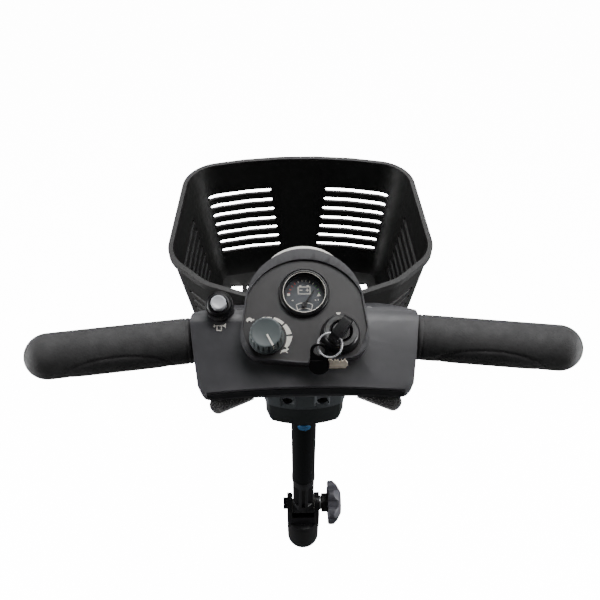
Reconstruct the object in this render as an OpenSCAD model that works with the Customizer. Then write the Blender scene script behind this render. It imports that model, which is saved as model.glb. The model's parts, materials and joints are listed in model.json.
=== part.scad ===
// Steering tiller of a small electric mobility scooter: a fold yoke that clamps on the
// steering stem, a round post, a control console with handlebar grips, and a lift-off basket.
// +Z runs up the post, +X to the rider's right, -Y towards the rider. The origin is the
// centre of the stem socket's mouth.

/* [Tiller] */
// Height of the handlebar's axis above the mouth of the stem socket
bar_z = 410; // [406:1:414]
// Height of the fold pivot above the mouth of the stem socket
pivot_z = 91; // [89:1:92]
// Outside diameter of the steering post and of the stem that the socket takes
post_d = 25.4; // [25:0.1:25.8]
// Wall of the post and of the handlebar
tube_wall = 2; // [1.6:0.1:2.4]

/* [Handlebar] */
// Outside diameter of the handlebar tube
bar_d = 22.2; // [22:0.1:22.4]
// Distance from the middle to the bend on each side
bar_bend_x = 65; // [62:1:68]
// How far each end sweeps back towards the rider, in degrees
bar_sweep = 6.9; // [5:0.1:8]
// Outside diameter of a grip
grip_d = 39; // [36:0.5:40]
// Length of a grip
grip_len = 138.5; // [130:0.5:142]

/* [Console] */
// Tilt of the console's face towards the rider, in degrees
face_tilt = 23; // [22:0.5:24]
// Wall of the console's shells
shell_wall = 2.5; // [2:0.1:2.6]
// Diameter of the speed knob
knob_d = 28; // [25:0.2:28]
// Outside diameter of the battery gauge's bezel
gauge_d = 41.4; // [40:0.2:43]

/* [Basket] */
// Height of the basket
basket_h = 160; // [150:1:165]
// Height of the basket's rim below the handlebar's axis
basket_drop = 25; // [24:1:28]
// Inward lean of the basket's walls, in degrees
basket_lean = 7; // [5:0.5:8]

/* [Hidden] */
$fn = 64;
overshoot = 1;                      // how far a cutting shape runs past the face it opens
seat_gap = 0.2;                     // gap around a piece that drops into a seat

// Yoke and pivot
socket_d = 40;
socket_h = 58;
socket_depth = 44;
stem_bore_d = post_d + 0.1;
ear_in = 13.5;
ear_out = 19.5;
ear_r = 12.5;
yoke_floor_z = pivot_z - 15;
bolt_r = 5;
running_gap = 0.06;
lug_y = 25;
lug_zs = [14, 34];
knob_x = 29.6;
knob_w = 16;

// Knuckle, post and neck
knuckle_half = 12.2;
barrel_r = 12;
pocket_h = 46;
post_z = pivot_z + 74;
post_top_z = bar_z - 18;
neck_half_x = 36.4;
neck_half_y = 30;
neck_front_r = 90;
groove_z = bar_z - 63;
groove_w = 1.4;
neck_cap_z = bar_z - 89;
badge_z = bar_z - 122.5;

// Handlebar
bar_y = 5;
bar_end = 164;                      // tube length past the bend
grip_start = 30.3;                  // grip's inner end past the bend
bracket_half = 16;

// Console, in the face frame: X across, Y up the slope, Z out of the face
face_top = 23;
shelf_n = 3.5;
belly_r = 23;
belly_y = 8;
pod_top = 35;
panel_seat = 31;
panel_face = 33;
band_half = 79;
band_top = 18.8;
band_lean = 22;                     // how far the front band leans back, in degrees
light_r = 39.5;
light_taper = 0.117;                // how fast the barrel narrows towards its front
light_z = bar_z + 20;
light_cut_z = bar_z - 12;
light_front_y = 54;
gauge_y = 30.3;
gauge_r = 17;
knob_at = [-30.7, -7];
key_at = [28, -5.5];
key_angle = 52;
horn_at = [-69.5, 22];
lever_y = -30;
lever_front = -48;
pad_end_x = 72.6;
pad_end_r = 6.6;
pad_start_x = 43;

// Key ring and keys
ring_r = 9.3;
ring_wire = 0.75;
ring_hole = -6;                     // along the bow from the lock's axis
ring_hole_n = 50;
ring_tilt = 18;
spare_on_ring = 205;                // where the spare key sits on the ring, in degrees
spare_tilt = 44;

// Basket
rim_z = bar_z - basket_drop;
basket_z = rim_z - basket_h;
basket_wall = 3;
lean_in = basket_h * tan(basket_lean);
slot_rows = 7;
slot_pitch = 13.5;
slot_h = 5.6;
slot_top_z = rim_z - 41;
plate_y = 67;
screw_seat_y = 87;

// ---- shared shapes --------------------------------------------------------------------

module on_face() {
    translate([0, 0, bar_z]) rotate([face_tilt, 0, 0]) children();
}

module both_sides() {
    children();
    mirror([1, 0, 0]) children();
}

module along_x(x0, x1, r) {
    translate([x0, 0, 0]) rotate([0, 90, 0]) cylinder(r = r, h = x1 - x0);
}

module along_y(y0, y1, r) {
    translate([0, y0, 0]) rotate([-90, 0, 0]) cylinder(r = r, h = y1 - y0);
}

module tube(r_out, r_in, z0, z1) {
    difference() {
        translate([0, 0, z0]) cylinder(r = r_out, h = z1 - z0);
        translate([0, 0, z0 - overshoot]) cylinder(r = r_in, h = z1 - z0 + 2 * overshoot);
    }
}

// Cap screw along -Z from its head's underside at the origin
module cap_screw(shank_r, shank_l, head_r, head_h) {
    translate([0, 0, -shank_l]) cylinder(r = shank_r, h = shank_l);
    difference() {
        cylinder(r = head_r, h = head_h);
        translate([0, 0, head_h / 2]) cylinder(r = head_r * 0.55, h = head_h, $fn = 6);
    }
}

// ---- stem yoke ------------------------------------------------------------------------

module yoke() {
    color("#1c1d20")
    difference() {
        union() {
            cylinder(d = socket_d, h = socket_h);
            translate([-ear_out, -ear_r, socket_depth + 6])
                cube([2 * ear_out, 2 * ear_r, pivot_z - socket_depth - 6]);
            translate([0, 0, pivot_z]) along_x(-ear_out, ear_out, ear_r);
            translate([-10, 0, 4]) cube([20, lug_y + 8, 42]);
        }
        translate([0, 0, -overshoot]) cylinder(d = stem_bore_d, h = socket_depth + overshoot);
        translate([-ear_in, -30, yoke_floor_z]) cube([2 * ear_in, 60, 60]);
        translate([0, 0, pivot_z]) along_x(-30, 30, bolt_r + 0.2);
        translate([-1.2, 8, -overshoot]) cube([2.4, 40, socket_depth + 3 + overshoot]);
        for (z = lug_zs) translate([0, lug_y, z]) along_x(-20, 20, 3.3);
    }
}

module socket_pinch_bolts() {
    color("silver")
    for (z = lug_zs) translate([0, lug_y, z]) {
        rotate([0, -90, 0]) translate([0, 0, 10]) cap_screw(3, 25, 5, 5);
        difference() {
            along_x(10, 15, 5.5, $fn = 6);
            along_x(9, 16, 3);
        }
    }
}

module pivot_bolt() {
    color("silver")
    translate([0, 0, pivot_z]) {
        translate([-ear_out - 4.5, 0, 0]) rotate([0, 90, 0]) cylinder(r = 7, h = 4.5, $fn = 6);
        along_x(-ear_out - 1, knob_x + 12, bolt_r);
    }
}

module pivot_washers() {
    color("ivory")
    both_sides()
    translate([0, 0, pivot_z]) rotate([0, 90, 0]) tube(11, bolt_r + 0.3, 12.6, ear_in);
}

module clamp_washer() {
    color("silver")
    translate([0, 0, pivot_z]) rotate([0, 90, 0]) tube(8.5, bolt_r + 0.3, ear_out, ear_out + 2);
}

// Six-lobed bell-shaped hand knob with a blind hole for its insert
module clamp_knob() {
    color("#74757c")
    translate([knob_x, 0, pivot_z]) rotate([0, 90, 0])
    difference() {
        intersection() {
            union() {
                cylinder(r = 19, h = knob_w);
                for (i = [0 : 5]) rotate(i * 60) translate([19, 0, 0]) cylinder(r = 6.7, h = knob_w);
            }
            rotate_extrude() polygon([
                [0, 0], [24.2, 0], [25.7, 1.5], [25.7, 6.5], [21, 11.5], [13, knob_w], [0, knob_w]
            ]);
        }
        translate([0, 0, -overshoot]) cylinder(r = 8, h = 13 + overshoot);
    }
}

module knob_insert() {
    color("#222326")
    translate([0, 0, pivot_z]) rotate([0, 90, 0])
    difference() {
        union() {
            translate([0, 0, 22]) cylinder(r = 11, h = knob_x - 22);
            translate([0, 0, knob_x]) cylinder(r = 8, h = 13);
        }
        translate([0, 0, 20]) cylinder(r = bolt_r + running_gap, h = 24);
    }
}

// ---- post and neck --------------------------------------------------------------------

// Cast barrel and column with pockets between ribs, plugged into the post's lower end
module knuckle() {
    color("#26282b")
    difference() {
        union() {
            translate([0, 0, pivot_z]) along_x(-knuckle_half, knuckle_half, barrel_r);
            intersection() {
                translate([0, 0, pivot_z]) cylinder(r = post_d / 2 + 0.2, h = post_z - pivot_z);
                translate([-knuckle_half, -20, pivot_z]) cube([2 * knuckle_half, 40, 90]);
            }
            translate([0, 0, post_z - 6]) cylinder(r = post_d / 2 + 0.5, h = 6);
            translate([0, 0, post_z]) cylinder(r = post_d / 2 - tube_wall, h = 35);
        }
        translate([0, 0, pivot_z]) along_x(-20, 20, bolt_r + running_gap);
        for (side = [0, 180]) rotate(side) {
            for (x = [-11.2, 5.4]) translate([x, -16, pivot_z + 14]) cube([5.8, 9, pocket_h]);
            translate([-1.8, -16, pivot_z + 14]) cube([3.6, 6, pocket_h]);
        }
    }
}

module post_tube() {
    color("#151618")
    tube(post_d / 2, post_d / 2 - tube_wall, post_z, post_top_z);
}

// Plain oval plate that hugs the post
module post_badge() {
    color("#2f6f9f")
    intersection() {
        tube(post_d / 2 + 0.6, post_d / 2, badge_z - 10, badge_z + 10);
        translate([0, 0, badge_z]) rotate([90, 0, 0])
        linear_extrude(20) polygon([for (i = [0 : 23]) [6.5 * cos(i * 15), 4.5 * sin(i * 15)]]);
    }
}

// Plan of the neck: a rounded box with a shallow curved front and back
module neck_plan(inset) {
    intersection() {
        square([2 * (neck_half_x - inset), 2 * neck_half_y], center = true);
        translate([0, neck_front_r - neck_half_y + inset]) circle(r = neck_front_r, $fn = 128);
        translate([0, neck_half_y - neck_front_r - inset]) circle(r = neck_front_r, $fn = 128);
        circle(r = 40.4 - inset);
    }
}

// Space above the neck that belongs to the lever and the console
module neck_clearance() {
    on_face() {
        translate([0, belly_y, 0]) along_x(-60, 60, belly_r + 0.3);
        translate([-60, -100, -7.5]) cube([120, 200, 60]);
    }
}

module neck_half(y0, y1) {
    difference() {
        intersection() {
            translate([0, 0, groove_z + groove_w / 2]) linear_extrude(70) neck_plan(0);
            translate([-60, y0, 0]) cube([120, y1 - y0, 500]);
        }
        neck_clearance();
        translate([0, 0, 300]) cylinder(d = post_d, h = 120);
        for (x = [-15, 15]) translate([x, 0, bar_z - 50]) {
            along_y(-40, 18, 2.05);
            along_y(-40, -neck_half_y + 7, 4.9);
        }
        for (x = [-20, 20]) translate([x, 0, bar_z - 52]) along_y(20, 40, 2.5);
    }
}

module neck_clamp_front() {
    color("#45474b") neck_half(-neck_half_y, -0.3);
}

module neck_clamp_rear() {
    color("#45474b") neck_half(0.3, neck_half_y);
}

// Cap below the groove, with its lower corners cut off
module neck_cap() {
    color("#3c3e42")
    difference() {
        intersection() {
            translate([0, 0, neck_cap_z]) linear_extrude(groove_z - groove_w / 2 - neck_cap_z) neck_plan(1);
            translate([0, 50, 0]) rotate([90, 0, 0]) linear_extrude(100) polygon([
                [-30, neck_cap_z], [30, neck_cap_z], [neck_half_x, neck_cap_z + 10], [neck_half_x, groove_z],
                [-neck_half_x, groove_z], [-neck_half_x, neck_cap_z + 10]
            ]);
        }
        cylinder(d = post_d, h = 500);
    }
}

module neck_screws() {
    color("silver")
    for (x = [-15, 15])
        translate([x, -neck_half_y + 7, bar_z - 50]) rotate([90, 0, 0]) cap_screw(2, 40, 4.3, 4.5);
}

// ---- handlebar ------------------------------------------------------------------------

// A round bar that runs straight through the middle and is bent back at each side, with a
// slightly swollen ball at each bend
module bent_bar(r, past_bend) {
    translate([0, bar_y, bar_z]) {
        along_x(-bar_bend_x, bar_bend_x, r);
        both_sides() translate([bar_bend_x, 0, 0]) {
            rotate([0, 90, 0]) sphere(r = r + 0.2);
            rotate(-bar_sweep) along_x(0, past_bend, r);
        }
    }
}

module handlebar() {
    color("#2b2c2f")
    difference() {
        bent_bar(bar_d / 2, bar_end);
        bent_bar(bar_d / 2 - tube_wall, bar_end + overshoot);
    }
}

module grip() {
    translate([bar_bend_x, bar_y, bar_z]) rotate(-bar_sweep)
    difference() {
        union() {
            along_x(grip_start, grip_start + grip_len - grip_d / 2, grip_d / 2);
            translate([grip_start + grip_len - grip_d / 2, 0, 0]) sphere(d = grip_d);
        }
        along_x(grip_start - overshoot, bar_end, bar_d / 2);
    }
}

module right_grip() {
    color("#303134") grip();
}

module left_grip() {
    color("#303134") mirror([1, 0, 0]) grip();
}

// Saddle on the post's top, and the cap that clamps the handlebar to it
module clamp_block(z0, z1) {
    difference() {
        translate([-bracket_half, bar_y - 16.5, z0]) cube([2 * bracket_half, 33, z1 - z0]);
        translate([0, bar_y, bar_z]) along_x(-30, 30, bar_d / 2);
        at_clamp_screws(0) cylinder(r = 2, h = 500);
    }
}

module at_clamp_screws(z) {
    for (y = [-13.3, 13.3]) for (x = [-9, 9]) translate([x, bar_y + y, z]) children();
}

module bar_bracket() {
    color("#55585c")
    difference() {
        union() {
            intersection() {
                clamp_block(post_top_z, bar_z - 0.5);
                on_face() translate([0, belly_y, 0]) along_x(-60, 60, belly_r - shell_wall - 0.3);
            }
            translate([0, 0, post_top_z]) cylinder(d = post_d, h = 4);
            translate([0, 0, post_top_z - 20]) cylinder(r = post_d / 2 - tube_wall, h = 21);
        }
        cylinder(r = 6, h = 500);
        translate([0, bar_y, bar_z]) along_x(-30, 30, bar_d / 2);
    }
}

module bar_clamp_cap() {
    color("#55585c") clamp_block(bar_z + 0.5, bar_z + 12.5);
}

module bar_clamp_screws() {
    color("silver") at_clamp_screws(bar_z + 12.5) cap_screw(2, 17, 3.2, 3.2);
}

// ---- console shells -------------------------------------------------------------------

function arch(x) = -48.6 - 3.2 * pow(x / 76, 2);

module console_plan(inset) {
    offset(delta = -inset)
    polygon(concat(
        [for (x = [-76 : 19 : 76]) [x, arch(x)]],
        [[82.5, -49.8], [86, -43], [90.7, -14.7], [94.4, 13], [92.8, 19], [50, 33]],
        [[-50, 33], [-92.8, 19], [-94.4, 13], [-90.7, -14.7], [-86, -43], [-82.5, -49.8]]
    ));
}

module housing(inset) {
    intersection() {
        translate([0, 0, -30]) linear_extrude(60) console_plan(inset);
        union() {
            translate([-100, -70, shelf_n + inset]) cube([200, 70 + belly_y, face_top - shelf_n - 2 * inset]);
            translate([0, belly_y, 0]) along_x(-100, 100, belly_r - inset);
        }
    }
}

// Everything behind the leaning front of the band, between its two end steps
module behind_band(inset) {
    translate([0, inset, shelf_n]) rotate([-band_lean, 0, 0]) translate([0, 0, -60]) linear_extrude(120)
    polygon(concat([for (x = [-100 : 20 : 100]) [x, arch(x)]], [[100, 100], [-100, 100]]));
}

module pod_plan(inset) {
    hull() {
        translate([0, 20.3]) circle(r = 48.5 - inset);
        for (x = [-31.7, 31.7]) translate([x, -5]) circle(r = 20 - inset, $fn = 32);
    }
}

module panel_plan(inset) {
    intersection() {
        pod_plan(inset + 1.2);
        translate([0, 9.1]) circle(r = 50.7 - inset, $fn = 128);
    }
}

// Arched barrel behind the pod that holds the headlight, along +Y, narrower at its front
function barrel_r(y) = light_r - (y - 22) * light_taper;

module light_barrel(inset, y0, y1) {
    intersection() {
        translate([0, y0, light_z]) rotate([-90, 0, 0])
            cylinder(r1 = barrel_r(y0) - inset, r2 = barrel_r(y1) - inset, h = y1 - y0, $fn = 96);
        translate([-60, y0 - 1, light_cut_z + inset]) cube([120, y1 - y0 + 2, 120]);
    }
}

// Half-space behind the headlight's plane
module behind_light() {
    translate([-100, -200, 300]) cube([200, 200 + light_front_y, 250]);
}

module pod(inset, bottom, top) {
    intersection() {
        union() {
            on_face() translate([0, 0, bottom]) linear_extrude(top - bottom) pod_plan(inset);
            intersection() {
                light_barrel(inset, 22 + inset, light_front_y + 10);
                on_face() translate([-60, -100, -60]) cube([120, 240, 60 + top]);
            }
        }
        behind_light();
    }
}

module face_holes() {
    translate([0, gauge_y, 0]) cylinder(r = gauge_r + 0.3, h = 60);
    translate(knob_at) cylinder(r = 4.7, h = 60);
    translate(key_at) cylinder(r = 9.8, h = 60);
}

module bar_hole() {
    bent_bar(bar_d / 2 + 0.5, 60);
}

module at_shell_screws(n) {
    for (x = [-53.5, 53.5]) translate([x, 20, n]) children();
}

module console_upper_shell() {
    color("#47484b")
    difference() {
        union() {
            difference() {
                on_face() housing(0);
                on_face() housing(shell_wall);
                on_face() linear_extrude(12) intersection() {
                    console_plan(shell_wall);
                    translate([-110, -70]) square([220, 70 + belly_y]);
                }
            }
            pod(0, 8, pod_top);
            on_face() translate([horn_at[0], horn_at[1], 4]) cylinder(r = 11.5, h = 26);
            on_face() at_shell_screws(shelf_n) cylinder(r = 3.5, h = 15);
        }
        on_face() {
            difference() {
                housing(shell_wall);
                translate([-110, 10, 0]) cube([220, 30, 40]);
            }
            translate([horn_at[0], horn_at[1], 6.5]) cylinder(r = 9.3, h = 30);
            translate([0, 0, panel_seat]) linear_extrude(10) panel_plan(0);
            translate([-110, -70, -60]) cube([220, 150, 60 + shelf_n]);
            translate([-band_half, -60, 0]) cube([2 * band_half, 22, band_top + 0.2]);
            difference() {
                translate([-band_half, -60, 0]) cube([2 * band_half, 30, 40]);
                behind_band(0);
            }
            at_shell_screws(-30) cylinder(r = 1.5, h = 42);
            face_holes();
        }
        difference() {
            pod(shell_wall, 8 - overshoot, panel_seat - shell_wall);
            on_face() translate([-110, -70, -40]) cube([220, 60, 60]);
        }
        bar_hole();
    }
}

// Lower tray: a shelf over the lever, a recessed front band and a belly around the handlebar
module console_lower_shell() {
    color("#35393f")
    difference() {
        union() {
            on_face() {
                intersection() {
                    difference() {
                        housing(0);
                        translate([0, belly_y, 0])
                            along_x(shell_wall - 92, 92 - shell_wall, belly_r - shell_wall);
                    }
                    translate([-110, -70, -60]) cube([220, 150, 60 + shelf_n]);
                }
                shelf_slab(shell_wall + seat_gap, shelf_n, shelf_n + shell_wall, -11.5, 200);
                difference() {
                    intersection() {
                        shelf_slab(0.2, shelf_n, band_top, -38, 2 * band_half - 0.4);
                        behind_band(0.6);
                    }
                    intersection() {
                        shelf_slab(1, shelf_n, band_top + 1, -37, 2 * band_half - 5);
                        behind_band(0.6 + shell_wall);
                    }
                }
                at_shell_screws(-19.5) cylinder(r = 5, h = 11);
                for (x = [-75, -45]) translate([x, -25, shelf_n]) cylinder(r = 3, h = 9.5);
            }
        }
        on_face() {
            translate([0, lever_y, 0]) cylinder(r = 5, h = 10);
            at_shell_screws(-30) cylinder(r = 1.7, h = 40);
            at_shell_screws(-30) cylinder(r = 3.4, h = 15);
        }
        translate([0, 0, 300]) cylinder(d = post_d + 1, h = 120);
        bar_hole();
    }
}

// Layer of the console's plan from n0 to n1, nearer the rider than y1 and as wide as stated
module shelf_slab(inset, n0, n1, y1, width) {
    translate([0, 0, n0]) linear_extrude(n1 - n0)
    intersection() {
        console_plan(inset);
        translate([-width / 2, -70]) square([width, 70 + y1]);
    }
}

// Two long screws that pull the shells together from below
module console_screws() {
    color("silver")
    on_face() at_shell_screws(-15) rotate([180, 0, 0]) cap_screw(1.5, 24, 3, 2);
}

module pod_panel() {
    color("#4a4b4e")
    on_face()
    difference() {
        translate([0, 0, panel_seat]) linear_extrude(panel_face - panel_seat) panel_plan(seat_gap);
        face_holes();
    }
}

// ---- headlight ------------------------------------------------------------------------

module headlight_bezel() {
    color("#e8e6df")
    difference() {
        light_barrel(1, light_front_y, light_front_y + 5);
        light_barrel(5, light_front_y - 1, light_front_y + 6);
    }
}

module headlight_reflector() {
    color("silver")
    difference() {
        intersection() {
            light_barrel(3.2, 42, light_front_y - 0.2);
            under_roof(3);
        }
        intersection() {
            light_barrel(5, 43.5, light_front_y + 1);
            under_roof(4.8);
        }
        translate([0, 0, light_z]) along_y(40, 45, 6);
    }
}

// Space under the pod's roof, less a gap
module under_roof(gap) {
    on_face() translate([-60, -100, -60]) cube([120, 240, 60 + panel_seat - gap]);
}

module headlight_lens() {
    color("#dfe6ea", 0.5) light_barrel(5.2, light_front_y + 1, light_front_y + 4);
}

module headlight_led() {
    color("#e8e4c8")
    translate([0, 0, light_z]) {
        along_y(43.6, 46, 3.5);
        translate([-10, 40.5, -10]) cube([20, 1.5, 20]);
        along_y(42, 43.6, 5.5);
    }
}

// ---- battery gauge --------------------------------------------------------------------

module at_gauge() {
    on_face() translate([0, gauge_y, 0]) children();
}

module gauge_bezel() {
    color("#1d1e20")
    at_gauge() rotate_extrude() polygon([
        [16.9, panel_face], [gauge_d / 2, panel_face], [gauge_d / 2, 35.5],
        [gauge_d / 2 - 1.2, 37], [18.2, 37], [16.9, 36]
    ]);
}

module gauge_case() {
    color("#2a2b2d")
    at_gauge() difference() {
        translate([0, 0, 14]) cylinder(r = gauge_r, h = panel_face - 14);
        translate([0, 0, 15.5]) cylinder(r = 16, h = 20);
    }
}

module gauge_dial() {
    color("#3a3b3c")
    at_gauge() translate([0, 0, 28]) cylinder(r = 15.9, h = 1);
}

module gauge_lens() {
    color("#dfe6ea", 0.4)
    at_gauge() translate([0, 0, 34]) cylinder(r = 16.9, h = 1.2);
}

// Needle on its pivot near the gauge's lower edge, pointing at the full end
module gauge_needle() {
    color("white")
    at_gauge() translate([0, -9, 30]) {
        cylinder(r = 2.2, h = 1.4);
        rotate(57) translate([0, -0.5, 0]) cube([16, 1, 0.8]);
    }
}

// ---- speed control and electronics ----------------------------------------------------

module at_knob() {
    on_face() translate(knob_at) children();
}

module speed_knob() {
    color("#5b6363")
    at_knob() difference() {
        union() {
            translate([0, 0, 34.2]) cylinder(d = knob_d, h = 2.4);
            translate([0, 0, 36.6]) cylinder(d = knob_d - 2, h = 13.4);
        }
        for (i = [0 : 17]) rotate(i * 20)
            translate([knob_d / 2 - 0.4, 0, 37.6]) cylinder(r = 1.3, h = 14, $fn = 16);
        translate([0, 0, 33]) cylinder(r = 3, h = 12);
    }
}

module speed_pot_shaft() {
    color("silver")
    at_knob() translate([0, 0, 17]) cylinder(r = 3, h = 28);
}

module speed_pot() {
    color("#7a7f86")
    at_knob() difference() {
        union() {
            translate([0, 0, 14.8]) cylinder(r = 8.2, h = 9);
            translate([0, 0, 23]) cylinder(r = 4.4, h = 10.6);
        }
        translate([0, 0, 16.5]) cylinder(r = 3 + running_gap, h = 30);
    }
}

module circuit_board() {
    color("#1f6a3a")
    on_face() translate([-80, -30, 13]) cube([59, 32, 1.6]);
}

module horn_buzzer() {
    color("#202022")
    on_face() translate([-64, -14, 14.7]) difference() {
        cylinder(r = 9, h = 5.4);
        translate([0, 0, 4]) cylinder(r = 1.6, h = 3);
    }
}

// ---- key switch and keys --------------------------------------------------------------

module at_key() {
    on_face() translate(key_at) rotate(key_angle) children();
}

module key_collar() {
    color("#2a2b2e")
    at_key() rotate_extrude() polygon([
        [8.2, panel_face], [16, panel_face], [15.8, 36], [14.2, 42.5], [12.6, 45], [10, 45.4], [8.2, 44.6]
    ]);
}

module key_switch() {
    color("#8b8e92")
    at_key() difference() {
        translate([0, 0, 11]) cylinder(r = 9.4, h = panel_face - 11);
        translate([0, 0, 13]) cylinder(r = 7 + running_gap, h = 30);
    }
}

module key_cylinder() {
    color("#b9bbbe")
    at_key() difference() {
        translate([0, 0, 13.3]) cylinder(r = 7, h = 31.2);
        translate([-4.4, -1.3, 21]) cube([8.8, 2.6, 30]);
    }
}

module key_blade() {
    color("#d9cdb8")
    at_key() translate([-4, -1, 23]) cube([8, 2, 24.6]);
}

module key_bow() {
    color("#1b1b1d")
    at_key() translate([0, 3.8, 0]) rotate([90, 0, 0]) linear_extrude(7.6)
    difference() {
        hull() for (x = [-9, 5]) for (n = [50, 57]) translate([x, n]) circle(r = 4, $fn = 32);
        translate([ring_hole - 0.4, ring_hole_n]) circle(r = 2.4);
        translate([-4.02, 40]) square([8.04, 7.6]);
    }
}

// Frame of the key ring: its plane slopes down towards the rider from the bow's hole
function ring_centre() = [
    key_at[0] + (ring_hole - ring_r) * cos(key_angle),
    key_at[1] + (ring_hole - ring_r) * sin(key_angle),
    ring_hole_n - ring_r * sin(key_angle) * tan(ring_tilt)
];

module on_ring() {
    on_face() translate(ring_centre()) rotate([ring_tilt, 0, 0]) children();
}

module key_ring() {
    color("silver")
    on_ring() rotate_extrude() translate([ring_r, 0]) circle(r = ring_wire, $fn = 24);
}

// Frame of the spare key: it hangs from the ring's left side, over the pod's edge
module on_spare() {
    on_ring() rotate(spare_on_ring) translate([ring_r, 0, 0]) rotate(-spare_on_ring)
    rotate([spare_tilt - ring_tilt, 0, 0]) children();
}

module spare_key_bow() {
    color("#1b1b1d")
    on_spare() difference() {
        union() {
            translate([0, 0, -0.8]) linear_extrude(1.6) hull() {
                for (x = [-1.2, 1.2]) translate([x, 0]) circle(r = 5.8, $fn = 32);
                translate([-7, -13]) square([14, 3]);
            }
            intersection() {
                translate([0, -12.2, -2.4]) cylinder(r = 8, h = 5);
                translate([-10, -30, -5]) cube([20, 22, 10]);
            }
        }
        translate([0, 0, -5]) cylinder(r = 4.4, h = 10);
        translate([3, -15.9, -1.05]) cube([10, 7.8, 2.1]);
    }
}

module spare_key_blade() {
    color("#d9cdb8")
    on_spare() translate([3, -15.8, -1]) cube([19.5, 7.6, 2]);
}

// ---- horn button ----------------------------------------------------------------------

module at_horn() {
    on_face() translate([horn_at[0], horn_at[1], 0]) children();
}

module horn_bezel() {
    color("#232426")
    at_horn() rotate_extrude() polygon([[7.2, 30], [11.3, 30], [11.3, 32], [10, 34], [8, 34], [7.2, 33]]);
}

module horn_switch() {
    color("#2d2e31")
    at_horn() difference() {
        translate([0, 0, 7]) cylinder(r = 8.8, h = 22.8);
        translate([0, 0, 12]) cylinder(r = 6.9, h = 20);
        translate([0, 0, 8]) cylinder(r = 2.56, h = 10);
    }
}

module horn_cap() {
    color("#c4c5c8")
    at_horn() {
        rotate_extrude() polygon([[0, 25], [6.3, 25], [6.3, 37.2], [5.6, 38], [0, 38.3]]);
        translate([0, 0, 11.5]) cylinder(r = 2.5, h = 14);
    }
}

module horn_spring() {
    color("silver")
    at_horn() tube(4.6, 3.6, 12, 24.9);
}

// ---- throttle lever -------------------------------------------------------------------

// One long lever under the console's front lip, with a hub at its middle and a tongue in
// each finger pad
module wigwag_lever() {
    color("#3b3d41")
    on_face()
    difference() {
        union() {
            translate([0, 0, -3]) linear_extrude(6) {
                translate([-70, lever_front]) square([140, 12]);
                for (x = [-70, 70]) translate([x, lever_front + 6]) circle(r = 6);
                translate([0, lever_y]) circle(r = 11);
                translate([-9, -42]) square([18, 12]);
            }
            translate([0, 0, -5.5]) linear_extrude(4) both_sides() intersection() {
                pad_plan(2.2);
                translate([40, -70]) square([45, 70 + lever_front + 8]);
            }
        }
        translate([0, lever_y, -10]) cylinder(r = 3, h = 20);
    }
}

// Plan of a finger pad: a long wedge that widens outwards into a round end
module pad_plan(inset) {
    offset(delta = -inset, $fn = 32)
    hull() {
        translate([pad_end_x, lever_front - 5.6]) circle(r = pad_end_r);
        translate([pad_start_x, lever_front - 0.6]) square([pad_end_x - pad_start_x, 8]);
    }
}

// Cross-hatched rubber pads on the lever's tongues, which a finger pulls
module wigwag_pads() {
    color("#4d4e51")
    on_face() both_sides() difference() {
        translate([0, 0, -8]) linear_extrude(8) pad_plan(0);
        translate([0, 0, -5.5]) linear_extrude(4) pad_plan(2.2);
        translate([0, lever_front, -10]) cube([100, 20, 20]);
    }
}

module wigwag_shaft() {
    color("silver")
    on_face() translate([0, lever_y, -3]) cylinder(r = 3, h = 17);
}

module wigwag_pot() {
    color("#7a7f86")
    on_face() translate([0, lever_y, 0]) difference() {
        translate([0, 0, 6]) cylinder(r = 8.4, h = 10.2);
        translate([0, 0, 5]) cylinder(r = 3 + running_gap, h = 9.6);
    }
}

// ---- basket ---------------------------------------------------------------------------

// Half of the basket's plan as corner points, before they are rounded
function near_arc(x) = 68 + x * x / 373;
function far_arc(x) = 297 - x * x / 833;

module basket_plan(inset) {
    offset(r = 42 - inset, $fn = 64) offset(delta = -42)
    polygon(concat(
        [for (x = [-95 : 38 : 95]) [x, near_arc(x)]],
        [[135.5, 131], [129, 269]],
        [for (x = [105 : -42 : -105]) [x, far_arc(x)]],
        [[-129, 269], [-135.5, 131]]
    ));
}

module basket_body(inset, floor_z, top_z) {
    hull() {
        translate([0, 0, top_z - 1]) linear_extrude(1) basket_plan(inset);
        translate([0, 0, floor_z + 14]) linear_extrude(0.5)
            basket_plan(inset + lean_in * (1 - 14 / basket_h));
        translate([0, 0, floor_z]) linear_extrude(0.5) basket_plan(inset + lean_in + 8);
    }
}

// Slot with round ends along X, cut through a wall that lies across Y
module slot_x(x0, x1, y0, y1) {
    r = slot_h / 2;
    translate([x0 + r, y0, -r]) cube([x1 - x0 - slot_h, y1 - y0, slot_h]);
    for (x = [x0 + r, x1 - r]) translate([x, 0, 0]) along_y(y0, y1, r);
}

module wall_slots() {
    for (row = [0 : slot_rows - 1]) translate([0, 0, slot_top_z - row * slot_pitch]) {
        shift = row * 1.6;
        both_sides() {
            slot_x(33 - shift, 109 - shift, 255, 310);
            translate([0, 195, 0]) rotate(90) slot_x(-42, 38, -150, -95);
            translate([110, 105, 0]) rotate(46) slot_x(-20, 16, -30, 22);
        }
    }
}

module floor_slots() {
    translate([0, 0, basket_z - 5]) linear_extrude(20)
    both_sides() {
        for (y = [150, 198]) {
            translate([6, y]) square([28, 40]);
            translate([40, y]) square([28, 40]);
        }
        for (y = [150, 198]) polygon([[74, y], [92, y], [88, y + 40], [74, y + 40]]);
    }
}

module basket() {
    color("#17181a")
    difference() {
        union() {
            difference() {
                union() {
                    basket_body(0, basket_z, rim_z);
                    translate([0, 0, rim_z - 7]) linear_extrude(7) basket_plan(-2);
                }
                basket_body(basket_wall, basket_z + basket_wall, rim_z + 2);
            }
            for (x = [-50, 50]) translate([x, 0, rim_z - 48]) along_y(82.5, screw_seat_y, 7);
        }
        wall_slots();
        floor_slots();
        for (x = [-50, 50]) translate([x, 0, rim_z - 48]) along_y(60, 110, 2.6);
    }
}

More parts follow.
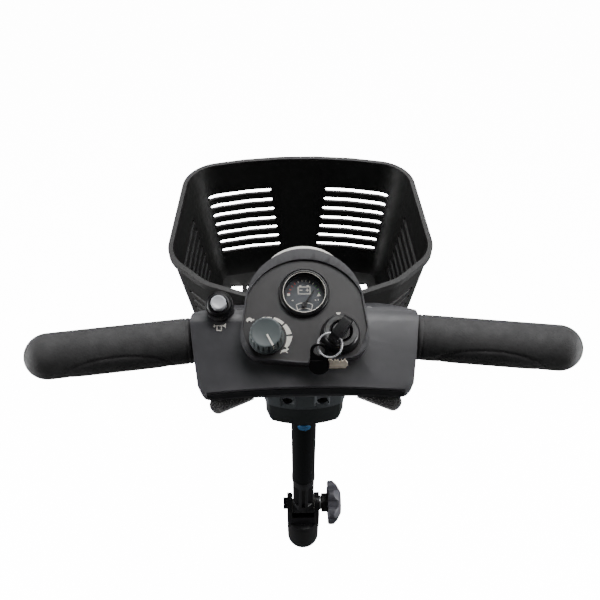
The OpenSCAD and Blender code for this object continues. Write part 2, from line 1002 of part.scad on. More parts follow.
// Plate behind the basket's near wall, with two hooks that drop over the bracket's edge
module basket_hook_plate() {
    color("#2a2b2e")
    difference() {
        union() {
            both_sides() translate([40, 0, rim_z]) {
                translate([0, plate_y, -60]) cube([22, 12, 40]);
                translate([0, plate_y - 8, -23]) cube([22, 12, 3]);
                translate([0, plate_y - 8, -40]) cube([22, 3, 20]);
            }
            translate([-50, plate_y, rim_z - 44]) cube([100, 1.5, 14]);
        }
        basket_body(-0.05, basket_z, rim_z);
        for (x = [-50, 50]) translate([x, 0, rim_z - 48]) along_y(60, 110, 2.6);
    }
}

module basket_plate_screws() {
    color("silver")
    for (x = [-50, 50])
        translate([x, screw_seat_y, rim_z - 48]) rotate([-90, 0, 0]) cap_screw(2.5, 18, 4.5, 2.6);
}

// Bent plate with gussets that carries the basket behind the neck
module basket_bracket() {
    color("#232427")
    difference() {
        union() {
            translate([-28, neck_half_y + 0.5, bar_z - 67]) cube([56, 3, 25]);
            translate([-28, neck_half_y + 0.5, bar_z - 67]) cube([56, plate_y - neck_half_y - 2.1, 3]);
            translate([-64, plate_y - 4.6, bar_z - 78]) cube([128, 3, 29]);
            for (x = [-28, 26])
                translate([x, neck_half_y + 0.5, bar_z - 67]) cube([2, plate_y - neck_half_y - 2.1, 14]);
        }
        for (x = [-20, 20]) translate([x, 0, bar_z - 52]) along_y(20, 40, 2.7);
    }
}

module bracket_bolts() {
    color("silver")
    for (x = [-20, 20])
        translate([x, neck_half_y + 3.5, bar_z - 52]) rotate([-90, 0, 0]) cap_screw(2.5, 12, 4.3, 3);
}

yoke();
socket_pinch_bolts();
pivot_bolt();
pivot_washers();
clamp_washer();
clamp_knob();
knob_insert();
knuckle();
post_tube();
post_badge();
neck_clamp_front();
neck_clamp_rear();
neck_cap();
neck_screws();
bar_bracket();
bar_clamp_cap();
bar_clamp_screws();
handlebar();
left_grip();
right_grip();
console_upper_shell();
console_lower_shell();
console_screws();
pod_panel();
headlight_bezel();
headlight_reflector();
headlight_lens();
headlight_led();
gauge_bezel();
gauge_case();
gauge_dial();
gauge_lens();
gauge_needle();
speed_knob();
speed_pot_shaft();
speed_pot();
circuit_board();
horn_buzzer();
key_collar();
key_switch();
key_cylinder();
key_blade();
key_bow();
key_ring();
spare_key_blade();
spare_key_bow();
horn_bezel();
horn_switch();
horn_cap();
horn_spring();
wigwag_lever();
wigwag_pads();
wigwag_shaft();
wigwag_pot();
basket();
basket_hook_plate();
basket_plate_screws();
basket_bracket();
bracket_bolts();
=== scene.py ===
"""Looks for the steering tiller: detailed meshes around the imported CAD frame, procedural
materials, soft studio light and the camera. Lengths inside the shape functions are in
millimetres, and each piece's place matrix turns them into metres in the row frame."""

import json
import math

import bmesh
import bpy
from mathutils import Matrix, Vector


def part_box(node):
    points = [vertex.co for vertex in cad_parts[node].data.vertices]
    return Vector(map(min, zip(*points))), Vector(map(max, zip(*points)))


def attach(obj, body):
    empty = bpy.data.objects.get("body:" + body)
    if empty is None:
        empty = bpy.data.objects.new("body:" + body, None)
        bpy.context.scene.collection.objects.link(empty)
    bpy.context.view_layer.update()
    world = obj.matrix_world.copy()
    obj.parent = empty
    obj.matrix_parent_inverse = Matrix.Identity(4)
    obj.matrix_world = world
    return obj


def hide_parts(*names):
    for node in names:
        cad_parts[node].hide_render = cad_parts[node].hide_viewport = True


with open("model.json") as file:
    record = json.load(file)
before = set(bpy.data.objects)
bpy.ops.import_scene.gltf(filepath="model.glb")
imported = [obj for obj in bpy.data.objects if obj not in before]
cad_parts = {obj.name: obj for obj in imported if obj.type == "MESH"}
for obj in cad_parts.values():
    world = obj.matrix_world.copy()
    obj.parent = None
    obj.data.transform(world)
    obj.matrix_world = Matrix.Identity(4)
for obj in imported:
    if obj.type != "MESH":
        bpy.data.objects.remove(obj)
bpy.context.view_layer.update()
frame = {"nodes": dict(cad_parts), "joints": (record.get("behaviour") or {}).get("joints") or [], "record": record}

MM = 0.001
JOINTS = {j["name"]: j for j in frame["joints"]}
BODY_OF = {n: b for b, nodes in frame["record"]["behaviour"]["bodies"].items() for n in nodes}


# ---- frames ---------------------------------------------------------------------------


def turn(degrees, axis):
    """Rotation about an axis, in degrees."""
    return Matrix.Rotation(math.radians(degrees), 4, axis)


def shift(x, y, z):
    """Translation."""
    return Matrix.Translation((x, y, z))


def middle(node):
    """Middle of a CAD node's bounding box, in metres."""
    low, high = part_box(node)
    return (low + high) / 2


ROW = Matrix.Scale(MM, 4)
BAR_Z = middle("handlebar").z / MM
FACE_NORMAL = Vector(JOINTS["throttle_swing"]["axis"])
FACE_TILT = math.degrees(math.atan2(-FACE_NORMAL.y, FACE_NORMAL.z))
FACE = ROW @ shift(0, 0, BAR_Z) @ turn(FACE_TILT, "X")


def on_face(joint):
    """Where a joint's axis crosses the console's face frame, in millimetres."""
    p = FACE.inverted() @ Vector(JOINTS[joint]["pos_m"])
    return p.x, p.y


KNOB_X, KNOB_Y = on_face("speed_turn")
KEY_X, KEY_Y = on_face("key_turn")
GAUGE_X, GAUGE_Y = on_face("gauge_needle_swing")
NEEDLE_DROP = 9.0                   # the needle's pivot below the gauge's centre
GAUGE_Y += NEEDLE_DROP
HORN = FACE.inverted() @ middle("horn_bezel")   # its box's middle, 0.26 mm off its axis
HORN_MARK_DROP = 17.0               # the horn mark below the button
HORN_MARK_SCALE = 1.4

# From here to SPARE_TILT the values repeat part.scad's, in millimetres and degrees. The two
# WEDGE values are near the point where its pads' straight edge meets the round end.

# Heights in the face frame, along its Z
PANEL_TOP = 33.0
SHELL_TOP = 23.0
DIAL_TOP = 29.0

# Throttle lever's finger pads, in the face frame: a wedge that runs into a round end
LEVER_FRONT = -48.0
PAD_LIP = 0.6
PAD_START_X = 43.0
PAD_END_X = 72.6
PAD_END_Y = LEVER_FRONT - 5.6
PAD_END_R = 6.6
WEDGE_END_X = PAD_END_X - 2
WEDGE_DEPTH = 11.3

# Handlebar and grips
BAR_R = 11.1
BAR_BEND_X = 65.0
BAR_SWEEP = 6.9
BAR_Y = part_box("handlebar")[1].y / MM - BAR_R
GRIP_START = 30.3
GRIP_LENGTH = 138.5
GRIP_R = 19.5

# Groove between the neck's halves and its cap
GROOVE_Z = BAR_Z - 63
GROOVE_HALF = 0.7

# Key ring, and the spare key on it
RING_R = 9.3
RING_TILT = 18
SPARE_ON_RING = 205
SPARE_TILT = 44
RING_AT = FACE.inverted() @ middle("key_ring")
RING = FACE @ shift(*RING_AT) @ turn(RING_TILT, "X")
ON_RING = turn(SPARE_ON_RING, "Z") @ shift(RING_R, 0, 0) @ turn(-SPARE_ON_RING, "Z")
SPARE = RING @ ON_RING @ turn(SPARE_TILT - RING_TILT, "X")


# ---- materials ------------------------------------------------------------------------


class Shader:
    """A principled shader with small helpers for the texture nodes that feed it."""

    def __init__(self, name, roughness, metallic=0.0, coat=0.0, specular=0.5):
        self.material = bpy.data.materials.new(name)
        self.material.use_nodes = True
        self.nodes = self.material.node_tree.nodes
        self.links = self.material.node_tree.links
        self.bsdf = self.nodes["Principled BSDF"]
        self.bsdf.inputs["Roughness"].default_value = roughness
        self.bsdf.inputs["Metallic"].default_value = metallic
        self.bsdf.inputs["Coat Weight"].default_value = coat
        self.bsdf.inputs["Coat Roughness"].default_value = 0.12
        self.bsdf.inputs["Specular IOR Level"].default_value = specular
        self.place = self.nodes.new("ShaderNodeTexCoord").outputs["Object"]
        self.height = None

    def stretched(self, x, y, z):
        """Object coordinates scaled by a factor along each axis."""
        node = self.nodes.new("ShaderNodeMapping")
        node.inputs["Scale"].default_value = (x, y, z)
        self.links.new(self.place, node.inputs["Vector"])
        return node.outputs["Vector"]

    def noise(self, scale, detail=3.0, vector=None):
        """Soft noise from 0 to 1."""
        node = self.nodes.new("ShaderNodeTexNoise")
        node.inputs["Scale"].default_value = scale
        node.inputs["Detail"].default_value = detail
        self.links.new(vector or self.place, node.inputs["Vector"])
        return node.outputs["Fac"]

    def cells(self, scale):
        """Distance to the middle of the nearest of many small cells."""
        node = self.nodes.new("ShaderNodeTexVoronoi")
        node.inputs["Scale"].default_value = scale
        self.links.new(self.place, node.inputs["Vector"])
        return node.outputs["Distance"]

    def spread(self, value, low, high):
        """Maps the middle part of a noise onto a range."""
        node = self.nodes.new("ShaderNodeMapRange")
        node.inputs["From Min"].default_value = 0.3
        node.inputs["From Max"].default_value = 0.7
        node.inputs["To Min"].default_value = low
        node.inputs["To Max"].default_value = high
        self.links.new(value, node.inputs["Value"])
        return node.outputs["Result"]

    def colour(self, rgb, mottle, scale):
        """Base colour that drifts between a darker and a lighter shade."""
        mix = self.nodes.new("ShaderNodeMix")
        mix.data_type = "RGBA"
        mix.inputs["A"].default_value = (*[c * (1 - mottle) for c in rgb], 1)
        mix.inputs["B"].default_value = (*[min(1, c * (1 + mottle)) for c in rgb], 1)
        self.links.new(self.spread(self.noise(scale), 0, 1), mix.inputs["Factor"])
        self.links.new(mix.outputs["Result"], self.bsdf.inputs["Base Color"])

    def rough(self, low, high, scale):
        """Roughness that drifts between two values."""
        self.links.new(self.spread(self.noise(scale, 5.0), low, high), self.bsdf.inputs["Roughness"])

    def bump(self, value, depth_mm, strength=1.0):
        """Adds a relief on top of those already there."""
        node = self.nodes.new("ShaderNodeBump")
        node.inputs["Distance"].default_value = depth_mm * MM
        node.inputs["Strength"].default_value = strength
        self.links.new(value, node.inputs["Height"])
        if self.height:
            self.links.new(self.height, node.inputs["Normal"])
        self.height = node.outputs["Normal"]
        self.links.new(self.height, self.bsdf.inputs["Normal"])


def moulded(name, rgb, roughness, grain=0.03, mottle=0.10, coat=0.0, specular=0.5):
    """Moulded plastic: fine spark-eroded grain, with slow drifts in shade and gloss."""
    s = Shader(name, roughness, coat=coat, specular=specular)
    s.colour(rgb, mottle, 45)
    s.rough(roughness - 0.05, roughness + 0.07, 120)
    s.bump(s.noise(2600, 2.0), grain)
    s.bump(s.noise(90, 2.0), 0.05, 0.4)
    return s.material


def painted(name, rgb, roughness, coat=0.4, specular=0.5):
    """Powder coat or gloss paint with a faint orange peel."""
    s = Shader(name, roughness, coat=coat, specular=specular)
    s.colour(rgb, 0.12, 60)
    s.rough(roughness - 0.04, roughness + 0.06, 200)
    s.bump(s.noise(420, 2.0), 0.02)
    return s.material


def plated(name, rgb, roughness, metallic=1.0):
    """Plated or turned metal with fine scratches along its length."""
    s = Shader(name, roughness, metallic=metallic)
    s.colour(rgb, 0.08, 300)
    s.rough(roughness - 0.08, roughness + 0.12, 500)
    s.bump(s.noise(900, 4.0, s.stretched(1, 6, 1)), 0.01)
    return s.material


def pebbled_rubber(name, rgb):
    """Soft rubber with raised pebbles about a millimetre across."""
    s = Shader(name, 0.68, specular=0.35)
    s.colour(rgb, 0.16, 80)
    s.rough(0.6, 0.78, 150)
    s.bump(s.cells(950), 0.22, 0.9)
    s.bump(s.noise(2400, 2.0), 0.03)
    return s.material


def clear(name, rgb, alpha):
    """Clear plastic window, almost smooth."""
    s = Shader(name, 0.12, specular=0.2)
    s.colour(rgb, 0.02, 20)
    s.bump(s.noise(70, 1.0), 0.02)
    s.bsdf.inputs["Alpha"].default_value = alpha
    return s.material


def ink(name, rgb):
    """Screen-printed ink, slightly uneven."""
    s = Shader(name, 0.5)
    s.colour(rgb, 0.06, 400)
    s.rough(0.42, 0.6, 700)
    s.bump(s.noise(1800, 2.0), 0.01)
    return s.material


CHARCOAL = moulded("charcoal_plastic", (0.050, 0.050, 0.055), 0.4)
PANEL = moulded("panel_plastic", (0.038, 0.037, 0.038), 0.46)
TRAY = moulded("tray_plastic", (0.006, 0.0075, 0.009), 0.42)
NECK = moulded("neck_plastic", (0.060, 0.068, 0.074), 0.44)
NECK_CAP = moulded("neck_cap_plastic", (0.014, 0.017, 0.018), 0.44)
BLACK_GLOSS = moulded("gloss_black_plastic", (0.005, 0.005, 0.006), 0.32, grain=0.004)
KEY_BLACK = moulded("key_head_plastic", (0.004, 0.004, 0.0045), 0.4, grain=0.004, specular=0.22)
BLACK_MATT = moulded("matt_black_plastic", (0.007, 0.007, 0.008), 0.5)
BASKET = moulded("basket_plastic", (0.006, 0.006, 0.0058), 0.46, mottle=0.2)
KNOB_GREY = moulded("hand_knob_plastic", (0.085, 0.085, 0.1), 0.38)
DIAL_GREY = moulded("speed_knob_plastic", (0.078, 0.094, 0.097), 0.42)
LAMP_WHITE = moulded("lamp_frame_plastic", (0.72, 0.70, 0.66), 0.25, grain=0.005, mottle=0.03, coat=0.4)
WASHER = moulded("washer_plastic", (0.4, 0.39, 0.36), 0.4)
HORN_SILVER = moulded("horn_button_plastic", (0.55, 0.56, 0.60), 0.28, grain=0.006, mottle=0.04, coat=0.3)
BOARD = moulded("circuit_board_resin", (0.02, 0.16, 0.06), 0.35)
BLUE = moulded("badge_blue", (0.03, 0.13, 0.3), 0.25, grain=0.005, coat=0.5)
POST = painted("gloss_black_paint", (0.002, 0.0025, 0.003), 0.3, coat=0.0, specular=0.3)
FRAME_PAINT = painted("satin_black_paint", (0.006, 0.006, 0.007), 0.38, coat=0.2)
CASTING = painted("dark_cast_paint", (0.012, 0.012, 0.014), 0.4, coat=0.2)
ZINC = plated("zinc_steel", (0.5, 0.5, 0.51), 0.34)
SCREW_BLACK = plated("blackened_steel", (0.03, 0.03, 0.032), 0.4)
CHROME = plated("bright_wire", (0.86, 0.86, 0.88), 0.34, metallic=0.6)
NICKEL = plated("nickel_key", (0.88, 0.79, 0.66), 0.4, metallic=0.35)
ALLOY = plated("cast_alloy", (0.5, 0.5, 0.52), 0.42)
LOCK = plated("lock_metal", (0.11, 0.11, 0.11), 0.4)
GRIP = pebbled_rubber("grip_rubber", (0.050, 0.050, 0.051))
PAD = pebbled_rubber("pad_rubber", (0.22, 0.22, 0.222))
CLEAR = clear("clear_window", (0.02, 0.02, 0.02), 0.08)
CREAM = ink("cream_print", (0.80, 0.77, 0.70))
RED = ink("red_print", (0.55, 0.10, 0.07))
GREEN = ink("green_print", (0.16, 0.42, 0.16))
# near black: painted shade for the sheet that fills the neck's groove
GROOVE_SHADE = moulded("groove_painted_shade", (0.001, 0.001, 0.001), 0.7, specular=0.1)
DARK = ink("dark_print", (0.008, 0.008, 0.009))
DIAL_FACE = ink("dial_face", (0.085, 0.093, 0.105))


# ---- mesh helpers ---------------------------------------------------------------------

SHARP_ANGLE = 32                    # degrees an edge has to turn by to stay crisp
SOFT_ANGLE = 30                     # the same, for a copy of a CAD node
WELD = 2e-6                         # metres within which a CAD node's corners are one
FLAT_ANGLE = math.radians(1.0)      # facets that turn by less than this become one


def finish_mesh(obj, bevel, sharp):
    """Consistent normals, smooth shading between soft edges, and rounded sharp edges."""
    bm = bmesh.new()
    bm.from_mesh(obj.data)
    bmesh.ops.recalc_face_normals(bm, faces=bm.faces)
    bm.to_mesh(obj.data)
    bm.free()
    obj.data.shade_smooth()
    obj.data.set_sharp_from_angle(angle=math.radians(sharp))
    if bevel:
        mod = obj.modifiers.new("soft_edges", "BEVEL")
        mod.width = bevel * MM
        mod.segments = 3
        mod.limit_method = "ANGLE"
        mod.angle_limit = math.radians(sharp)
        mod.harden_normals = True
        mod.miter_outer = "MITER_ARC"


def piece(name, shape, place, material, node, instead=False, bevel=0.0, sharp=SHARP_ANGLE):
    """Makes an object from (points, faces) in millimetres. It rides with a CAD node's body, and may stand for it."""
    points, faces = shape
    mesh = bpy.data.meshes.new(name)
    mesh.from_pydata([place @ Vector(p) for p in points], [], faces)
    mesh.materials.append(material)
    obj = bpy.data.objects.new(name, mesh)
    bpy.context.scene.collection.objects.link(obj)
    finish_mesh(obj, bevel, sharp)
    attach(obj, BODY_OF[node])
    if instead:
        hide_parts(node)
    return obj


def joined(shapes):
    """Several shapes as one list of points and one of faces."""
    points, faces = [], []
    for p, f in shapes:
        start = len(points)
        points += list(p)
        faces += [[i + start for i in face] for face in f]
    return points, faces


def moved(shape, matrix):
    """A shape with its points moved by a matrix."""
    points, faces = shape
    return [matrix @ Vector(p) for p in points], faces


def prism(outline, low, high):
    """Closed solid between two heights over a flat outline."""
    n = len(outline)
    points = [(x, y, low) for x, y in outline] + [(x, y, high) for x, y in outline]
    sides = [[i, (i + 1) % n, (i + 1) % n + n, i + n] for i in range(n)]
    return points, [list(range(n))[::-1], list(range(n, 2 * n))] + sides


def lathe(profile, segments=96, wave=None):
    """Solid of revolution about Z. A profile that doesn't start and end on the axis is
    closed into a ring. wave(angle, r, z) may change a point's radius."""
    open_ends = profile[0][0] == 0 and profile[-1][0] == 0
    rows, points = [], []
    for r, z in profile:
        if r == 0:
            rows.append([len(points)] * segments)
            points.append((0, 0, z))
            continue
        rows.append(list(range(len(points), len(points) + segments)))
        for i in range(segments):
            a = 2 * math.pi * i / segments
            rr = wave(a, r, z) if wave else r
            points.append((rr * math.cos(a), rr * math.sin(a), z))
    pairs = list(zip(rows, rows[1:])) + ([] if open_ends else [(rows[-1], rows[0])])
    faces = []
    for a, b in pairs:
        for i in range(segments):
            j = (i + 1) % segments
            face = [a[i], a[j], b[j], b[i]]
            faces.append(sorted(set(face), key=face.index))
    return points, faces


def sweep(path, radius, flat, sides=16):
    """Tube with closed ends along a path. flat is its height against its width."""
    points, faces = [], []
    last = len(path) - 1
    path = [Vector(p) for p in path]
    for i, p in enumerate(path):
        along = (path[min(i + 1, last)] - path[max(i - 1, 0)]).normalized()
        across = along.cross(Vector((0, 0, 1))).normalized()
        up = across.cross(along)
        for k in range(sides):
            a = 2 * math.pi * k / sides
            points.append(p + radius * (math.cos(a) * across + flat * math.sin(a) * up))
    for i in range(last):
        for k in range(sides):
            a, b = i * sides, (i + 1) * sides
            faces.append([a + k, a + (k + 1) % sides, b + (k + 1) % sides, b + k])
    faces += [list(range(sides)), list(range(last * sides, (last + 1) * sides))[::-1]]
    return points, faces


def arc(cx, cy, r, start, end, steps):
    """Points on an arc, from one angle to another in degrees."""
    angles = [math.radians(start + (end - start) * i / steps) for i in range(steps + 1)]
    return [(cx + r * math.cos(a), cy + r * math.sin(a)) for a in angles]


def band(cx, cy, r0, r1, start, end, steps=16, r1_end=None):
    """Outline of a curved band. Its outer radius may grow from r1 to r1_end."""
    grow = 0.0 if r1_end is None else r1_end - r1
    outer = arc(cx, cy, r1, start, end, steps)
    for i, (x, y) in enumerate(outer):
        wider = 1 + grow * i / steps / r1
        outer[i] = (cx + (x - cx) * wider, cy + (y - cy) * wider)
    return outer + arc(cx, cy, r0, start, end, steps)[::-1]


def ellipse(cx, cy, a, b, steps=20, tilt=0.0):
    """Outline of an ellipse with half axes a and b, tilted by some degrees."""
    c, s = math.cos(math.radians(tilt)), math.sin(math.radians(tilt))
    loop = [2 * math.pi * i / steps for i in range(steps)]
    flat = [(a * math.cos(t), b * math.sin(t)) for t in loop]
    return [(cx + x * c - y * s, cy + x * s + y * c) for x, y in flat]


def block(cx, cy, w, h):
    """Outline of a rectangle around its middle."""
    corners = [(-1, -1), (1, -1), (1, 1), (-1, 1)]
    return [(cx + i * w / 2, cy + j * h / 2) for i, j in corners]


def softened(node, width, material):
    """A copy of a CAD node with its coplanar facets merged and its edges rounded by width
    millimetres. Faces with many corners are split into triangles, which bevel cleanly."""
    source = frame["nodes"][node]
    mesh = bpy.data.meshes.new(node + "_soft")
    bm = bmesh.new()
    bm.from_mesh(source.data)
    bmesh.ops.remove_doubles(bm, verts=bm.verts, dist=WELD)
    bmesh.ops.dissolve_limit(bm, angle_limit=FLAT_ANGLE, verts=bm.verts, edges=bm.edges)
    big = [f for f in bm.faces if len(f.verts) > 4]
    bmesh.ops.triangulate(bm, faces=big)
    bm.to_mesh(mesh)
    bm.free()
    mesh.materials.clear()
    mesh.materials.append(material)
    obj = bpy.data.objects.new(node + "_soft", mesh)
    bpy.context.scene.collection.objects.link(obj)
    finish_mesh(obj, width, SOFT_ANGLE)
    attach(obj, BODY_OF[node])
    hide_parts(node)
    return obj


def dress(material, *nodes):
    """Gives CAD nodes that stay as they are a new material."""
    for node in nodes:
        slots = frame["nodes"][node].data.materials
        slots.clear()
        slots.append(material)


# ---- structure: yoke, hinge, post and neck --------------------------------------------


def structure():
    """The yoke, the hinge, the post, the neck, the screws and the brackets."""
    softened("yoke", 1.0, FRAME_PAINT)
    softened("knuckle", 0.6, CASTING)
    softened("neck_clamp_front", 1.2, NECK)
    softened("neck_clamp_rear", 1.2, NECK)
    softened("neck_cap", 0.9, NECK_CAP)
    softened("clamp_knob", 1.6, KNOB_GREY)
    softened("knob_insert", 0.8, BLACK_MATT)
    softened("pivot_bolt", 0.4, SCREW_BLACK)
    for screws in ("socket_pinch_bolts", "basket_plate_screws", "bracket_bolts", "console_screws"):
        softened(screws, 0.25, ZINC)
    softened("neck_screws", 0.25, SCREW_BLACK)
    for plate in ("basket_bracket", "basket_hook_plate"):
        softened(plate, 0.4, FRAME_PAINT)
    dress(POST, "post_tube")
    dress(FRAME_PAINT, "handlebar")
    dress(WASHER, "pivot_washers")
    dress(BLUE, "post_badge")
    dress(ZINC, "clamp_washer", "bar_clamp_screws", "horn_spring", "speed_pot_shaft", "wigwag_shaft")
    dress(ALLOY, "bar_bracket", "bar_clamp_cap", "speed_pot", "wigwag_pot")


def groove_shade_sheet():
    """Thin near-black sheet in the groove below the neck: painted shade, so that the groove shows as a dark line.
    It is an oval whose sides are cut off flat."""
    side = 35.2
    outline = [(max(-side, min(side, x)), y) for x, y in ellipse(0, 0, 38.5, 28.6, 96)]
    half = GROOVE_HALF - 0.02
    piece("groove_shade_sheet", prism(outline, GROOVE_Z - half, GROOVE_Z + half), ROW, GROOVE_SHADE, "neck_cap")


def shells():
    """The console's shells, the lever, the basket, the keys and the parts inside."""
    softened("console_upper_shell", 1.1, CHARCOAL)
    softened("console_lower_shell", 0.8, TRAY)
    softened("pod_panel", 0.5, PANEL)
    softened("headlight_bezel", 0.9, LAMP_WHITE)
    softened("wigwag_lever", 0.9, CHARCOAL)
    softened("wigwag_pads", 0.5, PAD)
    softened("basket", 0.7, BASKET)
    softened("key_bow", 1.2, KEY_BLACK)
    softened("spare_key_bow", 0.7, KEY_BLACK)
    dress(BOARD, "circuit_board")
    dress(BLACK_MATT, "horn_buzzer", "horn_switch", "gauge_case")
    dress(LOCK, "key_switch", "key_cylinder")
    dress(CHROME, "headlight_reflector")
    dress(CREAM, "headlight_led")
    dress(CLEAR, "headlight_lens", "gauge_lens")
    frame["nodes"]["gauge_lens"].visible_shadow = False
    dress(DIAL_FACE, "gauge_dial")
    dress(NICKEL, "key_blade")


# ---- console details ------------------------------------------------------------------


def on_panel(x, y, angle=0.0):
    """Place of a detail on the console, in the face frame."""
    return FACE @ shift(x, y, 0) @ turn(angle, "Z")


def printed(name, outlines, place, material, node, top):
    """Flat printed marks, as thin solids that stand just proud of a node's surface."""
    shapes = [prism(outline, top - 0.05, top + 0.12) for outline in outlines]
    return piece(name, joined(shapes), place, material, node)


def panel_marks():
    """The speed wedge, a slow and a fast animal, a mark above the lock and the horn's mark."""
    wedge = [
        band(0, 0, 16.4, 17.6, 104, 76),
        band(0, 0, 16.2, 18.2, 71, 42, r1_end=18.9),
        band(0, 0, 16.0, 19.2, 37, 9, r1_end=20.2),
        band(0, 0, 15.8, 20.5, 4, -28, r1_end=18.2),
    ]
    printed("speed_wedge", wedge, on_panel(KNOB_X, KNOB_Y), CREAM, "pod_panel", PANEL_TOP)
    slow = [
        arc(0, 0, 2.6, 0, 180, 12),
        ellipse(3.1, 0.9, 0.9, 0.7),
        block(-1.6, -0.5, 0.9, 1.0),
        block(1.4, -0.5, 0.9, 1.0),
    ]
    printed("slow_mark", slow, on_panel(KNOB_X - 13.9, KNOB_Y + 14.6), CREAM, "pod_panel", PANEL_TOP)
    fast = [
        ellipse(0, 0, 2.6, 1.1, tilt=12),
        ellipse(2.6, 1.2, 1.0, 0.8),
        ellipse(1.9, 2.6, 0.35, 1.2, tilt=28),
        ellipse(-2.2, -1.3, 1.3, 0.4, tilt=40),
        ellipse(2.0, -1.3, 1.2, 0.35, tilt=-35),
    ]
    printed("fast_mark", fast, on_panel(KNOB_X + 13.8, KNOB_Y - 10.6), CREAM, "pod_panel", PANEL_TOP)
    key_mark = [arc(0, 0, 1.9, 180, 360, 10)]
    printed("lock_mark", key_mark, on_panel(KEY_X - 0.8, KEY_Y + 19), CREAM, "pod_panel", PANEL_TOP)
    bugle = [
        block(-0.6, 1.1, 5.0, 0.6),
        [(1.9, 0.8), (3.6, -0.4), (3.6, 2.6), (1.9, 1.4)],
        block(-3.3, 1.1, 0.6, 1.8),
        block(-1.6, -0.5, 0.6, 3.0),
        block(1.0, -0.5, 0.6, 3.0),
        block(-0.3, -1.8, 3.2, 0.6),
    ]
    place = on_panel(HORN.x, HORN.y - HORN_MARK_DROP)
    horn = [[(HORN_MARK_SCALE * x, HORN_MARK_SCALE * y) for x, y in outline] for outline in bugle]
    printed("horn_mark", horn, place, CREAM, "console_upper_shell", SHELL_TOP + 0.12)


def gauge():
    """Stepped bezel with a bright inner ring, the dial's printed scale, and the needle."""
    centre = on_panel(GAUGE_X, GAUGE_Y)
    bezel = [
        (16.95, 33), (20.7, 33), (20.7, 35.2), (20.2, 36.3), (19.6, 36.9), (19.2, 36.5), (18.8, 36.9),
        (18.3, 37.0), (17.9, 36.6), (17.5, 36.8), (16.95, 36.4),
    ]
    piece("gauge_bezel_rings", lathe(bezel, 128), centre, BLACK_GLOSS, "gauge_bezel", True)
    line = [(16.95, 36.3), (17.5, 36.7), (17.4, 37.0), (16.95, 36.7)]
    piece("gauge_bezel_line", lathe(line, 128), centre, CREAM, "gauge_bezel")
    ticks = {RED: [], CREAM: [], GREEN: []}
    first_angle, step_angle = 172, 14.9
    for i in range(12):
        angle = math.radians(first_angle - i * step_angle)
        c, s = math.cos(angle), math.sin(angle)
        shade = RED if i < 4 else GREEN if i > 8 else CREAM
        ticks[shade].append([(r * c - w * s, r * s + w * c) for r, w in block(12.5, 0, 1.8, 0.7)])
    for shade, marks in ticks.items():
        printed("dial_" + shade.name, marks, centre, shade, "gauge_dial", DIAL_TOP)
    marks = [
        block(-12.9, 0.6, 2.4, 2.2),
        [(10.4, -1.2), (13.8, -1.2), (12.1, 1.9)],
        band(0, -21, 13.9, 14.5, 62, 118, 10),
        band(0, -21, 9.3, 9.9, 52, 128, 10),
        [(-7.0, -9.0), (-5.8, -13.4), (-5.2, -13.2), (-6.3, -8.8)],
        [(7.0, -9.0), (6.3, -8.8), (5.2, -13.2), (5.8, -13.4)],
        block(0, 7.0, 10.4, 0.7),
        block(0, 0.9, 10.4, 0.7),
        block(-4.9, 4.0, 0.7, 6.0),
        block(4.9, 4.0, 0.7, 6.0),
        block(-3.1, 7.9, 2.0, 1.2),
        block(3.1, 7.9, 2.0, 1.2),
        block(-2.6, 4.2, 2.4, 0.7),
        block(2.6, 4.2, 2.4, 0.7),
        block(2.6, 4.2, 0.7, 2.4),
        block(-9.6, -4.6, 1.6, 0.8),
        block(9.2, -4.6, 1.2, 0.8),
        block(11.4, -4.4, 0.8, 1.4),
    ]
    printed("dial_marks", marks, centre, CREAM, "gauge_dial", DIAL_TOP)
    pointer = [(-1.2, -0.9), (14.6, -0.35), (15.9, 0), (14.6, 0.35), (-1.2, 0.9)]
    blade = joined([prism(pointer, 30.3, 30.8), prism(ellipse(0, 0, 2.2, 2.2, 32), 30.0, 31.4)])
    needle_angle = 57
    place = on_panel(GAUGE_X, GAUGE_Y - NEEDLE_DROP, needle_angle)
    piece("needle_blade", blade, place, DARK, "gauge_needle", True, bevel=0.1)


def speed_knob():
    """Fluted knob on a thin skirt, with a pointer line over its top and down its side."""
    pointer_angle = -63
    place = on_panel(KNOB_X, KNOB_Y, pointer_angle)
    flutes, depth, run_in = 20, 1.1, 1.2
    flute_z, flute_r = 37.2, 12

    def fluted(angle, r, z):
        """Radius of the knob with its flutes cut, above flute_z and outside flute_r."""
        if z < flute_z or r < flute_r:
            return r
        valley = max(0.0, math.cos(flutes * angle)) ** 0.7
        return r - depth * valley * min(1.0, (z - flute_z) / run_in)

    skirt = [(0, 34.2), (13.8, 34.2), (14.0, 34.7), (13.9, 36.2), (13.6, 36.6), (13.0, 36.7)]
    side = [(13.0, flute_z), (13.0, 38.4), (12.95, 43), (12.8, 47.4), (12.5, 48.9)]
    top = [(11.9, 49.7), (10.9, 50.0), (10.3, 49.8), (0, 49.7)]
    body = lathe(skirt + side + top, 240, fluted)
    piece("speed_knob_body", body, place, DIAL_GREY, "speed_knob", True, sharp=50)
    line = prism(block(6.8, 0, 9.9, 1.3), 49.55, 50.12)
    drop = moved(prism(block(44.6, 0, 8.2, 1.3), 0, 0.25), shift(12.85, 0, 0) @ turn(-90, "Y"))
    piece("speed_knob_pointer", joined([line, drop]), place, CREAM, "speed_knob")


